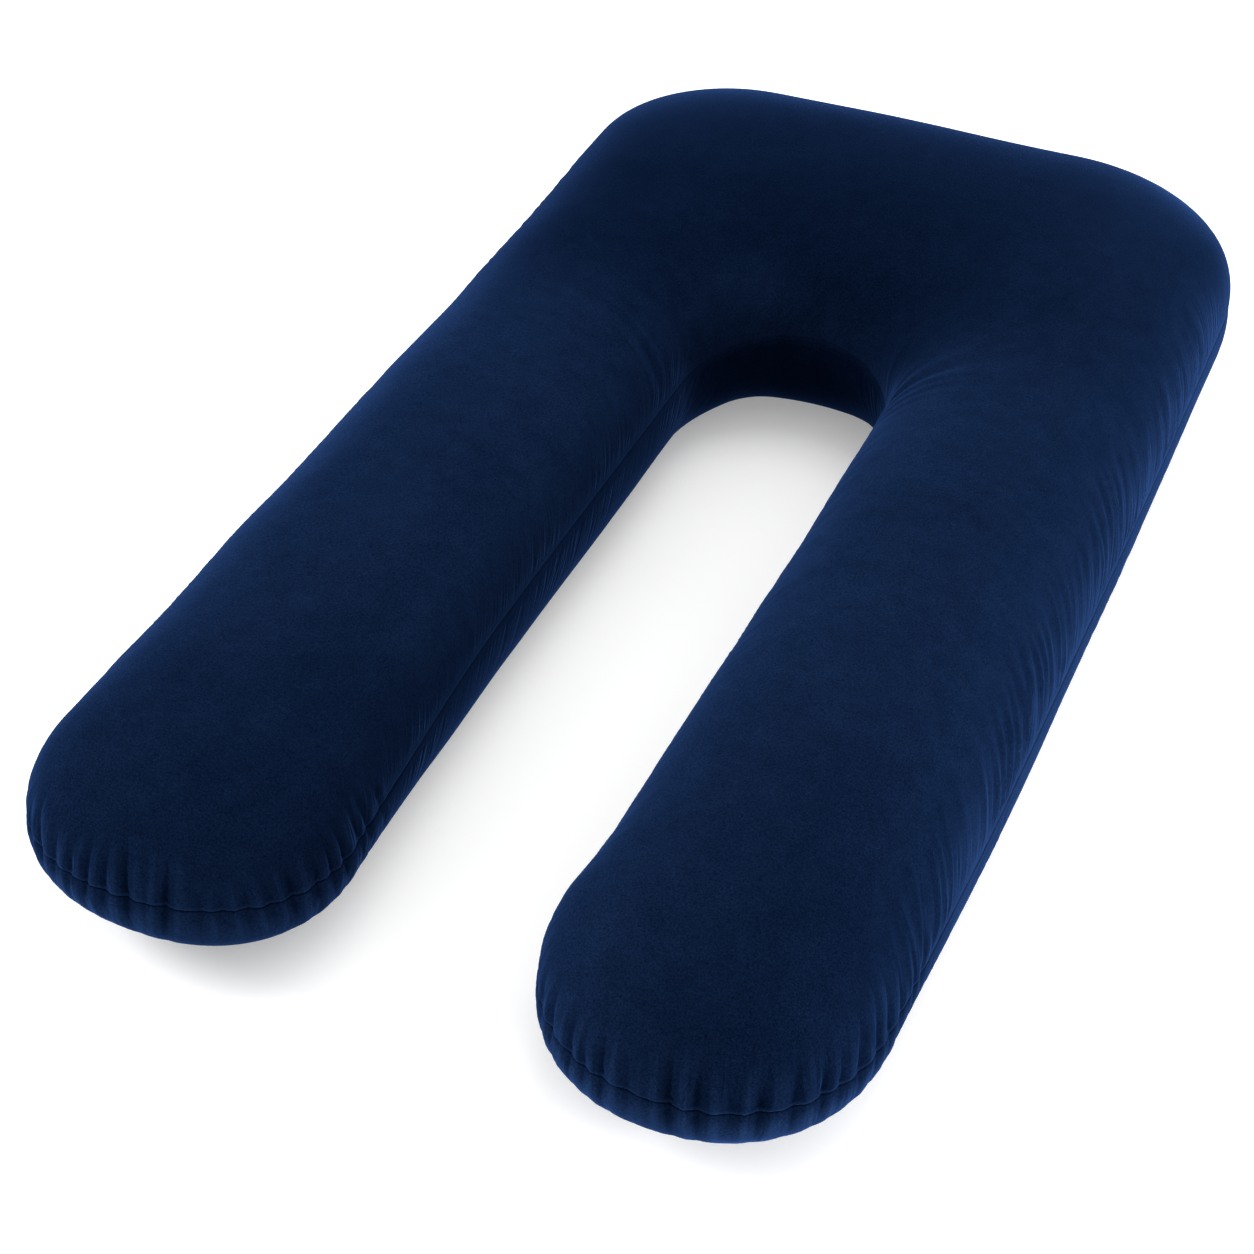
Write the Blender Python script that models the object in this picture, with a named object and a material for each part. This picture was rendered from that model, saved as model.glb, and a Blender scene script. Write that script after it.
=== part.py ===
"""Pregnancy pillow: a long U of navy velvet, filled, lying flat on its back.

Two like panels are joined by one plain seam that runs right round the U.
The filling crowns the upper panel and presses the lower one flat on the ground.
At the round end of each leg the cloth is gathered across the seam.

Metres, +Z up. The legs run toward -Y and the head end lies toward +Y.
"""

import math
from collections import namedtuple

import bmesh
import bpy
from mathutils import Vector

# Outline of the U, seen from above.
WIDTH = 0.80
LEG_WIDTH = 0.287
HEAD_DEPTH = 0.486
HEAD_EDGE_DRAW_IN = 0.022
GAP_ARC_DEPTH = 0.115
STRAIGHT_LEG_LENGTH = 0.794
TIP_SQUARENESS = 2.19

# How the legs depart from a straight and even U.
DRIFT_POWER = 4.1
HEAD_SKEW = 0.017
TIP_SKEW = 0.0285

# Height of the crown over the ground.
LEG_HEIGHT = 0.218
TIP_HEIGHT = 0.208
HEAD_HEIGHT = 0.238

# Height of the seam over the ground.
SEAM_AT_LEG_INNER = 0.118
SEAM_AT_LEG_OUTER = 0.086
SEAM_AT_TIP = 0.099
SEAM_AT_GAP_ARC = 0.136
SEAM_AT_HEAD = 0.127

# Fullness of a section: 2 is an ellipse, more is fuller at the edge.
CROWN_FULLNESS = 2.76
TIP_CROWN_FULLNESS = 2.39
BASE_FULLNESS = 3.96
TIP_BASE_FULLNESS = 1.71
BELLY = 0.068
BASE_FLATTENING = 0.004
TIP_EASE_START = 0.6

# The seam's groove.
SEAM_GROOVE_DEPTH = 0.003

# One crease of the gathers: half its width in millimetres, and how it fades and narrows.
CREASE_HALF_WIDTH = 10
CREASE_FADE = 1.2
CREASE_SHARPNESS = 1.4

# Rows from crown (0 degrees) through seam (90) to the middle of the base (180).
CROWN_ROWS = (0, 14, 28, 41, 53, 63, 71, 78, 83.5, 88)
BASE_ROWS = (92, 97, 103, 111, 122, 136, 155, 180)
ROWS = CROWN_ROWS + (90,) + BASE_ROWS
SEAM_ROW = len(CROWN_ROWS)

# Columns round a leg's end, and sections along a leg and round half of the head.
TIP_COLUMNS = 72
FIRST_LEG_STEP = 0.007
LEG_STEP_GROWTH = 1.24
LONGEST_LEG_STEP = 0.075
HEAD_SECTIONS = 20
MERGE_DISTANCE = 0.00002

NAVY = (0.0075, 0.0165, 0.0560, 1.0)

Section = namedtuple("Section", "inner outer height inner_seam outer_seam crown base")
Crease = namedtuple("Crease", "along depth up down lean")
Leg = namedtuple("Leg", "sign tip_length head_corner_radius inner_drift outer_drift creases")
Skin = namedtuple("Skin", "row side leg along above")

# Gathers at the leg ends, in millimetres. Along is measured on the seam from the
# middle of the tip toward the outer side of the U, up and down are the reach on
# each side of the seam, and lean is the sideways shift at the upper reach.
LEFT_CREASES = (
    Crease(along=119, depth=3.0, up=45, down=30, lean=6),
    Crease(along=96, depth=4.5, up=60, down=35, lean=9),
    Crease(along=74, depth=4.0, up=55, down=40, lean=-4),
    Crease(along=54, depth=4.0, up=60, down=40, lean=-8),
    Crease(along=37, depth=4.5, up=60, down=40, lean=-8),
    Crease(along=19, depth=4.5, up=65, down=35, lean=-8),
    Crease(along=-3, depth=6.5, up=75, down=45, lean=0),
    Crease(along=-37, depth=6.5, up=65, down=50, lean=-6),
    Crease(along=-66, depth=3.0, up=45, down=40, lean=0),
    Crease(along=-85, depth=2.5, up=40, down=35, lean=4),
    Crease(along=-105, depth=3.5, up=45, down=40, lean=4),
    Crease(along=-125, depth=3.0, up=40, down=35, lean=6),
    Crease(along=-144, depth=5.0, up=50, down=45, lean=4),
    Crease(along=-169, depth=5.0, up=50, down=45, lean=2),
    Crease(along=-187, depth=4.0, up=60, down=40, lean=6),
    Crease(along=-205, depth=5.5, up=65, down=45, lean=8),
    Crease(along=-233, depth=4.0, up=60, down=45, lean=10),
    Crease(along=-249, depth=3.5, up=60, down=45, lean=12),
    Crease(along=-277, depth=3.0, up=50, down=40, lean=12),
)
RIGHT_CREASES = (
    Crease(along=-134, depth=3.5, up=45, down=35, lean=-6),
    Crease(along=-110, depth=5.0, up=60, down=40, lean=-4),
    Crease(along=-80, depth=5.5, up=65, down=40, lean=-2),
    Crease(along=-63, depth=4.0, up=45, down=40, lean=0),
    Crease(along=-45, depth=5.5, up=60, down=45, lean=-3),
    Crease(along=-22, depth=3.5, up=50, down=40, lean=-3),
    Crease(along=13, depth=6.5, up=65, down=45, lean=-4),
    Crease(along=35, depth=5.5, up=60, down=45, lean=-2),
    Crease(along=60, depth=3.0, up=45, down=35, lean=0),
    Crease(along=82, depth=5.0, up=55, down=45, lean=3),
    Crease(along=110, depth=5.0, up=60, down=45, lean=4),
    Crease(along=136, depth=5.0, up=60, down=45, lean=5),
    Crease(along=153, depth=4.0, up=50, down=45, lean=5),
    Crease(along=176, depth=5.0, up=60, down=45, lean=8),
    Crease(along=201, depth=5.0, up=65, down=45, lean=12),
    Crease(along=225, depth=4.0, up=65, down=40, lean=14),
    Crease(along=250, depth=3.5, up=60, down=40, lean=16),
    Crease(along=282, depth=3.0, up=60, down=40, lean=16),
    Crease(along=302, depth=3.0, up=55, down=35, lean=18),
)

# What differs between the legs. Drift is how far a leg's edge has moved outward at its tip.
RIGHT = Leg(
    sign=1,
    tip_length=0.159,
    head_corner_radius=0.201,
    inner_drift=-0.018,
    outer_drift=-0.005,
    creases=RIGHT_CREASES,
)
LEFT = Leg(
    sign=-1,
    tip_length=0.127,
    head_corner_radius=0.184,
    inner_drift=-0.013,
    outer_drift=0.001,
    creases=LEFT_CREASES,
)
LEGS = {leg.sign: leg for leg in (RIGHT, LEFT)}

# The gap's arc has its centre at y = 0 until the U is settled.
GAP_HALF = WIDTH / 2 - LEG_WIDTH
HEAD_END_Y = HEAD_DEPTH + GAP_ARC_DEPTH
TIP_CENTRE = Vector((GAP_HALF + LEG_WIDTH / 2, -STRAIGHT_LEG_LENGTH))


def blend(start, end, share):
    """Value the given share of the way from start to end."""
    return start + (end - start) * share


def tip_share(fall):
    """How far the section has turned from the leg's own form to the tip's form."""
    return max(0.0, (fall - TIP_EASE_START) / (1 - TIP_EASE_START)) ** 2


def leg_section(fall):
    """Section across the right leg, from the gap's arc (0) to the tip's centre (1)."""
    y = -STRAIGHT_LEG_LENGTH * fall
    share = tip_share(fall)
    return Section(
        inner=Vector((GAP_HALF, y)),
        outer=Vector((WIDTH / 2, y)),
        height=blend(LEG_HEIGHT, TIP_HEIGHT, share),
        inner_seam=blend(SEAM_AT_LEG_INNER, SEAM_AT_TIP, share),
        outer_seam=blend(SEAM_AT_LEG_OUTER, SEAM_AT_TIP, share),
        crown=blend(CROWN_FULLNESS, TIP_CROWN_FULLNESS, share),
        base=blend(BASE_FULLNESS, TIP_BASE_FULLNESS, share),
    )


def head_outline(share, radius):
    """Point of the head end's rounded edge, from a leg's root (0) to the middle (1)."""
    angle = math.pi / 2 * share
    ray = Vector((math.cos(angle), math.sin(angle)))
    corner = Vector((WIDTH / 2 - radius, HEAD_END_Y - radius))
    if ray.y * WIDTH / 2 <= corner.y * ray.x:
        point = ray * (WIDTH / 2 / ray.x)
    elif ray.x * HEAD_END_Y <= corner.x * ray.y:
        point = ray * (HEAD_END_Y / ray.y)
    else:
        near = ray.dot(corner)
        point = ray * (near + math.sqrt(near**2 - corner.length_squared + radius**2))
    draw_in = HEAD_EDGE_DRAW_IN * (1 - (point.x / (WIDTH / 2)) ** 2) * ray.y
    return Vector((point.x, point.y - draw_in))


def head_section(share, radius):
    """Section across the head end, from a leg's root (0) to the middle (1)."""
    angle = math.pi / 2 * share
    lift = math.sin(angle) ** 2
    return Section(
        inner=Vector((GAP_HALF * math.cos(angle), GAP_ARC_DEPTH * math.sin(angle))),
        outer=head_outline(share, radius),
        height=blend(LEG_HEIGHT, HEAD_HEIGHT, lift),
        inner_seam=blend(SEAM_AT_LEG_INNER, SEAM_AT_GAP_ARC, lift),
        outer_seam=blend(SEAM_AT_LEG_OUTER, SEAM_AT_HEAD, lift),
        crown=CROWN_FULLNESS,
        base=BASE_FULLNESS,
    )


def leg_distances():
    """Distances of the leg's sections from the tip's centre, close together near the tip."""
    distances = []
    at = FIRST_LEG_STEP
    step = FIRST_LEG_STEP
    while at < STRAIGHT_LEG_LENGTH - step / 2:
        distances.append(at)
        step = min(step * LEG_STEP_GROWTH, LONGEST_LEG_STEP)
        at += step
    return distances


def even_shares(curve, count):
    """Shares from 0 to 1 that cut a curve into pieces of like length, and its whole length."""
    samples = 20 * count
    points = [curve(step / samples) for step in range(samples + 1)]
    lengths = [0.0]
    for before, after in zip(points, points[1:]):
        lengths.append(lengths[-1] + (after - before).length)
    shares = [0.0]
    at = 1
    for cut in range(1, count):
        while lengths[at] < lengths[-1] * cut / count:
            at += 1
        shares.append(at / samples)
    return shares + [1.0], lengths[-1]


def half_sections(leg):
    """Sections of a leg's half, tip to head, each with its distance from the tip's centre."""
    radius = leg.head_corner_radius
    sections = [(leg_section(1 - d / STRAIGHT_LEG_LENGTH), d) for d in leg_distances()]
    shares, _ = even_shares(lambda share: head_outline(share, radius), HEAD_SECTIONS)
    return sections + [(head_section(share, radius), STRAIGHT_LEG_LENGTH) for share in shares]


def rib(centre, edge, height, seam, crown, base):
    """Half of a section, crown to seam to base, with each point's distance from the seam."""
    points = []
    for degrees in ROWS:
        reach = math.sin(math.radians(degrees))
        if degrees <= 90:
            z = seam + (height - seam) * math.sqrt(max(0.0, 1 - reach**crown))
        else:
            z = seam * (1 - math.sqrt(max(0.0, 1 - reach**base)))
            z = max(0.0, z - BASE_FLATTENING * (1 - z / seam))
            reach *= 1 - BELLY * math.sin(math.radians(2 * degrees))
        if degrees == 90:
            reach -= SEAM_GROOVE_DEPTH / (edge - centre).length
        points.append((centre + (edge - centre) * reach).to_3d() + Vector((0, 0, z)))
    away = [0.0] * len(points)
    for row in range(SEAM_ROW - 1, -1, -1):
        away[row] = away[row + 1] + (points[row] - points[row + 1]).length
    for row in range(SEAM_ROW + 1, len(points)):
        away[row] = away[row - 1] - (points[row] - points[row - 1]).length
    return points, away


def section_ribs(section):
    """The outer (1) and inner (-1) ribs of a section."""
    centre = (section.inner + section.outer) / 2
    return {
        1: rib(centre, section.outer, section.height, section.outer_seam, section.crown, section.base),
        -1: rib(centre, section.inner, section.height, section.inner_seam, section.crown, section.base),
    }


def tip_edge(share, leg):
    """Seam round a leg's end, outer side (0) to inner side (1), from the tip's centre."""
    angle = math.pi * share
    power = 2 / TIP_SQUARENESS
    across = math.copysign(abs(math.cos(angle)) ** power, math.cos(angle))
    return Vector((LEG_WIDTH / 2 * across, -leg.tip_length * abs(math.sin(angle)) ** power))


def tip_shares(leg):
    """Shares that cut the seam round a leg's end evenly, and its length."""
    return even_shares(lambda share: tip_edge(share, leg), TIP_COLUMNS)


def skin_layers(bm):
    """Vertex layers that say where on the skin a vertex lies."""
    return Skin(
        row=bm.verts.layers.int.new("row"),
        side=bm.verts.layers.int.new("side"),
        leg=bm.verts.layers.int.new("leg"),
        along=bm.verts.layers.float.new("along"),
        above=bm.verts.layers.float.new("above"),
    )


def place(vert, layers, ribs, row, side, leg, along):
    """Put a vertex on its rib, mirrored where the leg is the left one."""
    points, away = ribs
    vert.co = points[row]
    vert.co.x *= leg.sign
    vert[layers.row] = row
    vert[layers.side] = side
    vert[layers.leg] = leg.sign
    vert[layers.along] = along
    vert[layers.above] = away[row]


def spin_tip(bm, layers, leg):
    """Spin half a section round the leg's end, and return the open edges that the leg grows from."""
    older = set(bm.verts)
    last_row = len(ROWS) - 1
    chain = [bm.verts.new((0 if row in (0, last_row) else 1, 0, -row)) for row in range(len(ROWS))]
    edges = [bm.edges.new(pair) for pair in zip(chain, chain[1:])]
    bmesh.ops.spin(
        bm, geom=chain + edges, cent=(0, 0, 0), axis=(0, 0, 1), angle=math.pi, steps=TIP_COLUMNS
    )
    shares, length = tip_shares(leg)
    ribs = []
    for share in shares:
        edge = TIP_CENTRE + tip_edge(share, leg)
        ribs.append(rib(TIP_CENTRE, edge, TIP_HEIGHT, SEAM_AT_TIP, TIP_CROWN_FULLNESS, TIP_BASE_FULLNESS))
    fresh = [vert for vert in bm.verts if vert not in older]
    for vert in fresh:
        turned = abs(math.atan2(vert.co.y, vert.co.x)) / math.pi
        column = round(turned * TIP_COLUMNS)
        along = length * (0.5 - column / TIP_COLUMNS)
        place(vert, layers, ribs[column], round(-vert.co.z), 1 if along > 0 else -1, leg, along)
    bmesh.ops.remove_doubles(bm, verts=fresh, dist=MERGE_DISTANCE)
    return [edge for edge in bm.edges if edge.is_boundary and edge.verts[0][layers.leg] == leg.sign]


def extrude_section(bm, layers, open_edges, section, leg, along):
    """Extrude the open ring of edges to the next section, and return the new open edges."""
    ribs = section_ribs(section)
    grown = bmesh.ops.extrude_edge_only(bm, edges=open_edges)["geom"]
    for vert in grown:
        if isinstance(vert, bmesh.types.BMVert):
            side = vert[layers.side]
            place(vert, layers, ribs[side], vert[layers.row], side, leg, side * along)
    return [edge for edge in grown if isinstance(edge, bmesh.types.BMEdge) and edge.is_boundary]


def build_skin(bm, layers):
    """Right tip, right leg, head end, left leg and left tip, as one closed skin."""
    open_edges = spin_tip(bm, layers, RIGHT)
    left_half = half_sections(LEFT)[-2::-1] + [(leg_section(1), 0.0)]
    for leg, half in ((RIGHT, half_sections(RIGHT)), (LEFT, left_half)):
        _, tip_seam = tip_shares(leg)
        for section, distance in half:
            along = tip_seam / 2 + distance
            open_edges = extrude_section(bm, layers, open_edges, section, leg, along)
    spin_tip(bm, layers, LEFT)
    bmesh.ops.remove_doubles(bm, verts=bm.verts[:], dist=MERGE_DISTANCE)
    bmesh.ops.recalc_face_normals(bm, faces=bm.faces[:])


def crease_depth(creases, along, above):
    """How far the gathers draw the cloth in at a place near the seam, all in millimetres."""
    depth = 0.0
    for crease in creases:
        reach = crease.up if above > 0 else crease.down
        share = abs(above) / reach
        if share < 1:
            middle = crease.along + crease.lean * above / crease.up
            across = max(0.0, 1 - abs(along - middle) / CREASE_HALF_WIDTH)
            depth += crease.depth * (1 - share) ** CREASE_FADE * across**CREASE_SHARPNESS
    return depth


def gather(bm, layers):
    """Press the creases of both tips into the skin, square to its surface."""
    bm.normal_update()
    moves = []
    for vert in bm.verts:
        creases = LEGS[vert[layers.leg]].creases
        depth = crease_depth(creases, 1000 * vert[layers.along], 1000 * vert[layers.above])
        moves.append((vert, vert.normal * depth / 1000))
    for vert, move in moves:
        vert.co -= move
        vert.co.z = max(0.0, vert.co.z)


def settle(bm, layers):
    """Let the legs drift and the U skew a little as it lies, and centre it on its box."""
    for vert in bm.verts:
        leg = LEGS[vert[layers.leg]]
        fall = min(1.0, max(0.0, -vert.co.y / STRAIGHT_LEG_LENGTH))
        across = min(1.0, max(0.0, (abs(vert.co.x) - GAP_HALF) / LEG_WIDTH))
        drift = blend(leg.inner_drift, leg.outer_drift, across) * fall**DRIFT_POWER
        vert.co.x += leg.sign * drift
        vert.co.y += vert.co.x * blend(HEAD_SKEW, TIP_SKEW, fall**2)
    xs = [vert.co.x for vert in bm.verts]
    ys = [vert.co.y for vert in bm.verts]
    middle = Vector((min(xs) + max(xs), min(ys) + max(ys), 0)) / 2
    bmesh.ops.translate(bm, verts=bm.verts[:], vec=-middle)


def velvet():
    """Deep navy velvet."""
    material = bpy.data.materials.new("navy_velvet")
    material.use_nodes = True
    shader = material.node_tree.nodes["Principled BSDF"]
    shader.inputs["Base Color"].default_value = NAVY
    shader.inputs["Roughness"].default_value = 0.85
    shader.inputs["Metallic"].default_value = 0.0
    shader.inputs["Sheen Weight"].default_value = 0.4
    return material


def make_pillow():
    """The filled pillow as one object in its own collection."""
    bm = bmesh.new()
    layers = skin_layers(bm)
    build_skin(bm, layers)
    gather(bm, layers)
    settle(bm, layers)
    mesh = bpy.data.meshes.new("pillow")
    bm.to_mesh(mesh)
    bm.free()
    mesh.shade_smooth()
    mesh.materials.append(velvet())
    pillow = bpy.data.objects.new("pillow", mesh)
    collection = bpy.data.collections.new("pregnancy_pillow")
    bpy.context.scene.collection.children.link(collection)
    collection.objects.link(pillow)
    return pillow


def main():
    """Clear the scene and build the pillow."""
    for old in list(bpy.data.objects):
        bpy.data.objects.remove(old, do_unlink=True)
    make_pillow()


main()
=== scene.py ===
"""Looks of the pregnancy pillow: a long filled U of navy velvet, lying flat.

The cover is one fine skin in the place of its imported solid. Its filling swells it
in a cloth simulation. Then the seam, the gathers at the leg ends and the fine folds
beside the seam are drawn into it. Metres, +Z up, the legs toward -Y.
"""

import logging
import math
from dataclasses import dataclass
from enum import Enum
from typing import Callable, Iterable, Sequence

import bmesh
import bpy
from mathutils import Matrix, Vector, noise


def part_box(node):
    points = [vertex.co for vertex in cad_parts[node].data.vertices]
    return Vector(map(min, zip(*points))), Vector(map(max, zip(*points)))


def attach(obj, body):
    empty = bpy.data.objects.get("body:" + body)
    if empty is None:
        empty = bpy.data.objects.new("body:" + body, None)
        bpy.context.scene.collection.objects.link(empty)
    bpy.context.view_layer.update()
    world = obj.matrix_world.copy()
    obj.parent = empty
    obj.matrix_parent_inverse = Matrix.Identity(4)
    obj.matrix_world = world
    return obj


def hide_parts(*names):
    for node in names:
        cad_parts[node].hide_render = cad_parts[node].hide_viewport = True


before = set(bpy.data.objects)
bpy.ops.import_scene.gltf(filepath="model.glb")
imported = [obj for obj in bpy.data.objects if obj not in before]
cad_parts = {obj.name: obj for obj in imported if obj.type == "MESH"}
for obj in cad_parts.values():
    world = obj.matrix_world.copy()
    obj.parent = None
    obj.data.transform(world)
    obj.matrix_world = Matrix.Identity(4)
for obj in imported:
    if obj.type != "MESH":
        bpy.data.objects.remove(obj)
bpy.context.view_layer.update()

NODE = "pillow"
BODY = "root"
LOG = logging.getLogger("pillow_looks")
Socket = bpy.types.NodeSocket
MM = 0.001
CURVE_SAMPLES = 20

# How many times longer than wide the fine folds are, and how fast the noise behind folds
# and seam changes across the pillow, so that the legs differ.
FOLD_LENGTH = 7
NOISE_ACROSS = 3


class Leg(Enum):
    """The two legs of the U, as the sign of their X."""

    RIGHT = 1
    LEFT = -1


class Side(Enum):
    """The two edges of a section across the U."""

    OUTER = 1
    INNER = -1


def blend(start: float, end: float, share: float) -> float:
    """Value the given share of the way from start to end."""
    return start + (end - start) * share


def eased(value: float, low: float, high: float) -> float:
    """Share of the way from low to high, with a soft start and end."""
    share = min(1.0, max(0.0, (value - low) / (high - low)))
    return share * share * (3 - 2 * share)


def even_shares(curve: Callable[[float], Vector], count: int) -> tuple[list[float], float]:
    """Cut a curve into pieces of like length.

    Args:
        curve: Point of the curve for a share from 0 to 1.
        count: Number of pieces.

    Returns:
        The shares of the cuts, ends included, and the curve's whole length.
    """
    samples = CURVE_SAMPLES * count
    points = [curve(step / samples) for step in range(samples + 1)]
    lengths = [0.0]
    for before, after in zip(points, points[1:]):
        lengths.append(lengths[-1] + (after - before).length)
    shares = [0.0]
    at = 1
    for cut in range(1, count):
        while lengths[at] < lengths[-1] * cut / count:
            at += 1
        shares.append(at / samples)
    return shares + [1.0], lengths[-1]


@dataclass(frozen=True)
class Rib:
    """Half of a section: from the crown through the seam to the middle of the base."""

    centre: Vector
    edge: Vector
    height: float
    seam: float
    crown: float
    base: float

    def point(self, degrees: float, form: "PillowForm") -> Vector:
        """Point of the rib.

        Args:
            degrees: 0 at the crown, 90 at the seam and 180 in the middle of the base.
            form: The pillow's sizes.

        Returns:
            The point on the smooth skin.
        """
        reach = math.sin(math.radians(degrees))
        if degrees <= 90:
            z = self.seam + (self.height - self.seam) * math.sqrt(max(0.0, 1 - reach**self.crown))
        else:
            z = self.seam * (1 - math.sqrt(max(0.0, 1 - reach**self.base)))
            z = max(0.0, z - form.base_flattening * (1 - z / self.seam))
            reach *= 1 - form.belly * math.sin(math.radians(2 * degrees))
        flat = self.centre + (self.edge - self.centre) * reach
        return Vector((flat.x, flat.y, z))


@dataclass(frozen=True)
class LegForm:
    """What differs between the legs. Drift is how far an edge has moved outward at the leg's end."""

    tip_length: float
    head_corner_radius: float
    inner_drift: float
    outer_drift: float


@dataclass(frozen=True)
class PillowForm:
    """Sizes of the filled pillow, and the sections that follow from them.

    Until the U is settled, the slot's arc has its centre at y = 0.
    """

    right: LegForm = LegForm(
        tip_length=0.159,
        head_corner_radius=0.201,
        inner_drift=-0.018,
        outer_drift=-0.005,
    )
    left: LegForm = LegForm(
        tip_length=0.127,
        head_corner_radius=0.184,
        inner_drift=-0.013,
        outer_drift=0.001,
    )
    width: float = 0.80
    leg_width: float = 0.287
    leg_length: float = 0.794
    head_depth: float = 0.486
    head_edge_draw_in: float = 0.022
    gap_arc_depth: float = 0.115
    tip_squareness: float = 2.19
    drift_power: float = 4.1
    head_skew: float = 0.017
    tip_skew: float = 0.0285
    leg_height: float = 0.218
    tip_height: float = 0.208
    head_height: float = 0.238
    seam_at_leg_inner: float = 0.118
    seam_at_leg_outer: float = 0.086
    seam_at_tip: float = 0.099
    seam_at_gap_arc: float = 0.136
    seam_at_head: float = 0.127
    crown_fullness: float = 2.76
    tip_crown_fullness: float = 2.39
    base_fullness: float = 3.96
    tip_base_fullness: float = 1.71
    belly: float = 0.068
    base_flattening: float = 0.004
    tip_ease_start: float = 0.6

    @property
    def gap_half(self) -> float:
        """Half the width of the slot between the legs."""
        return self.width / 2 - self.leg_width

    def of(self, leg: Leg) -> LegForm:
        """What is a leg's own."""
        return self.right if leg is Leg.RIGHT else self.left

    def tip_edge(self, share: float, leg: Leg) -> Vector:
        """Seam round a leg's end, outer (0) to inner side (1), about the end's centre, as on the right."""
        angle = math.pi * share
        power = 2 / self.tip_squareness
        across = math.copysign(abs(math.cos(angle)) ** power, math.cos(angle))
        reach = self.of(leg).tip_length * abs(math.sin(angle)) ** power
        return Vector((self.leg_width / 2 * across, -reach))

    def tip_rib(self, share: float, leg: Leg) -> Rib:
        """Rib of a leg's round end at a share of its edge."""
        centre = Vector((self.gap_half + self.leg_width / 2, -self.leg_length))
        return Rib(
            centre=centre,
            edge=centre + self.tip_edge(share, leg),
            height=self.tip_height,
            seam=self.seam_at_tip,
            crown=self.tip_crown_fullness,
            base=self.tip_base_fullness,
        )

    def leg_ribs(self, fall: float) -> dict[Side, Rib]:
        """Both ribs of a section across the right leg.

        Args:
            fall: 0 at the slot's arc and 1 at the round end's centre.

        Returns:
            The outer and the inner rib.
        """
        y = -self.leg_length * fall
        share = eased(fall, self.tip_ease_start, 1.0)
        inner = Vector((self.gap_half, y))
        outer = Vector((self.width / 2, y))
        shared = {
            "centre": (inner + outer) / 2,
            "height": blend(self.leg_height, self.tip_height, share),
            "crown": blend(self.crown_fullness, self.tip_crown_fullness, share),
            "base": blend(self.base_fullness, self.tip_base_fullness, share),
        }
        outer_seam = blend(self.seam_at_leg_outer, self.seam_at_tip, share)
        inner_seam = blend(self.seam_at_leg_inner, self.seam_at_tip, share)
        return {
            Side.OUTER: Rib(edge=outer, seam=outer_seam, **shared),
            Side.INNER: Rib(edge=inner, seam=inner_seam, **shared),
        }

    def head_outline(self, share: float, leg: Leg) -> Vector:
        """Point of the head end's rounded edge, as on the right.

        Args:
            share: 0 at the leg's root and 1 in the middle of the head end.
            leg: The half of the U.

        Returns:
            The point.
        """
        angle = math.pi / 2 * share
        radius = self.of(leg).head_corner_radius
        depth = self.head_depth + self.gap_arc_depth
        ray = Vector((math.cos(angle), math.sin(angle)))
        corner = Vector((self.width / 2 - radius, depth - radius))
        if ray.y * self.width / 2 <= corner.y * ray.x:
            point = ray * (self.width / 2 / ray.x)
        elif ray.x * depth <= corner.x * ray.y:
            point = ray * (depth / ray.y)
        else:
            near = ray.dot(corner)
            point = ray * (near + math.sqrt(near**2 - corner.length_squared + radius**2))
        draw_in = self.head_edge_draw_in * (1 - (point.x / (self.width / 2)) ** 2) * ray.y
        return Vector((point.x, point.y - draw_in))

    def gap_outline(self, share: float) -> Vector:
        """Point of the slot's arc, from the right leg's root (0) to the middle (1)."""
        angle = math.pi / 2 * share
        return Vector((self.gap_half * math.cos(angle), self.gap_arc_depth * math.sin(angle)))

    def head_ribs(self, share: float, leg: Leg) -> dict[Side, Rib]:
        """Both ribs of a section across the head end, as on the right.

        Args:
            share: 0 at the leg's root and 1 in the middle of the head end.
            leg: The half of the U.

        Returns:
            The outer and the inner rib.
        """
        lift = math.sin(math.pi / 2 * share) ** 2
        inner = self.gap_outline(share)
        outer = self.head_outline(share, leg)
        shared = {
            "centre": (inner + outer) / 2,
            "height": blend(self.leg_height, self.head_height, lift),
            "crown": self.crown_fullness,
            "base": self.base_fullness,
        }
        outer_seam = blend(self.seam_at_leg_outer, self.seam_at_head, lift)
        inner_seam = blend(self.seam_at_leg_inner, self.seam_at_gap_arc, lift)
        return {
            Side.OUTER: Rib(edge=outer, seam=outer_seam, **shared),
            Side.INNER: Rib(edge=inner, seam=inner_seam, **shared),
        }

    def settled(self, point: Vector, leg: Leg) -> Vector:
        """Where a point lies once the legs have drifted and the U is a little skewed.

        Args:
            point: Point of the straight and even U.
            leg: The half of the U that it belongs to.

        Returns:
            The point as it lies.
        """
        own = self.of(leg)
        fall = min(1.0, max(0.0, -point.y / self.leg_length))
        across = min(1.0, max(0.0, (abs(point.x) - self.gap_half) / self.leg_width))
        x = point.x + leg.value * blend(own.inner_drift, own.outer_drift, across) * fall**self.drift_power
        y = point.y + x * blend(self.head_skew, self.tip_skew, fall**2)
        return Vector((x, y, point.z))


@dataclass(frozen=True)
class CreaseProfile:
    """What all creases share: their section, and how they start and fade.

    A sharp core lies in a soft valley, with a slight swell on each side. Across the
    crease, lengths are shares of half its width. At the seam the crease has its held
    share of its depth, and it is full at the held reach in millimetres.
    """

    valley: float = 0.5
    core: float = 0.5
    core_half: float = 0.4
    swell: float = 0.22
    swell_middle: float = 1.1
    swell_half: float = 0.6
    held: float = 0.5
    held_reach: float = 8.0
    fade_power: float = 1.1

    @property
    def end(self) -> float:
        """Where the swell ends."""
        return self.swell_middle + self.swell_half

    def section(self, across: float) -> float:
        """Share of the full depth at a place across the crease.

        Args:
            across: Distance from the crease's middle, in half widths.

        Returns:
            The share, below zero in the swell.
        """
        inward = self.valley * max(0.0, 1 - across**2) ** 2
        inward += self.core * max(0.0, 1 - across / self.core_half)
        return inward - self.swell * max(0.0, 1 - abs(across - self.swell_middle) / self.swell_half)


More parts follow.
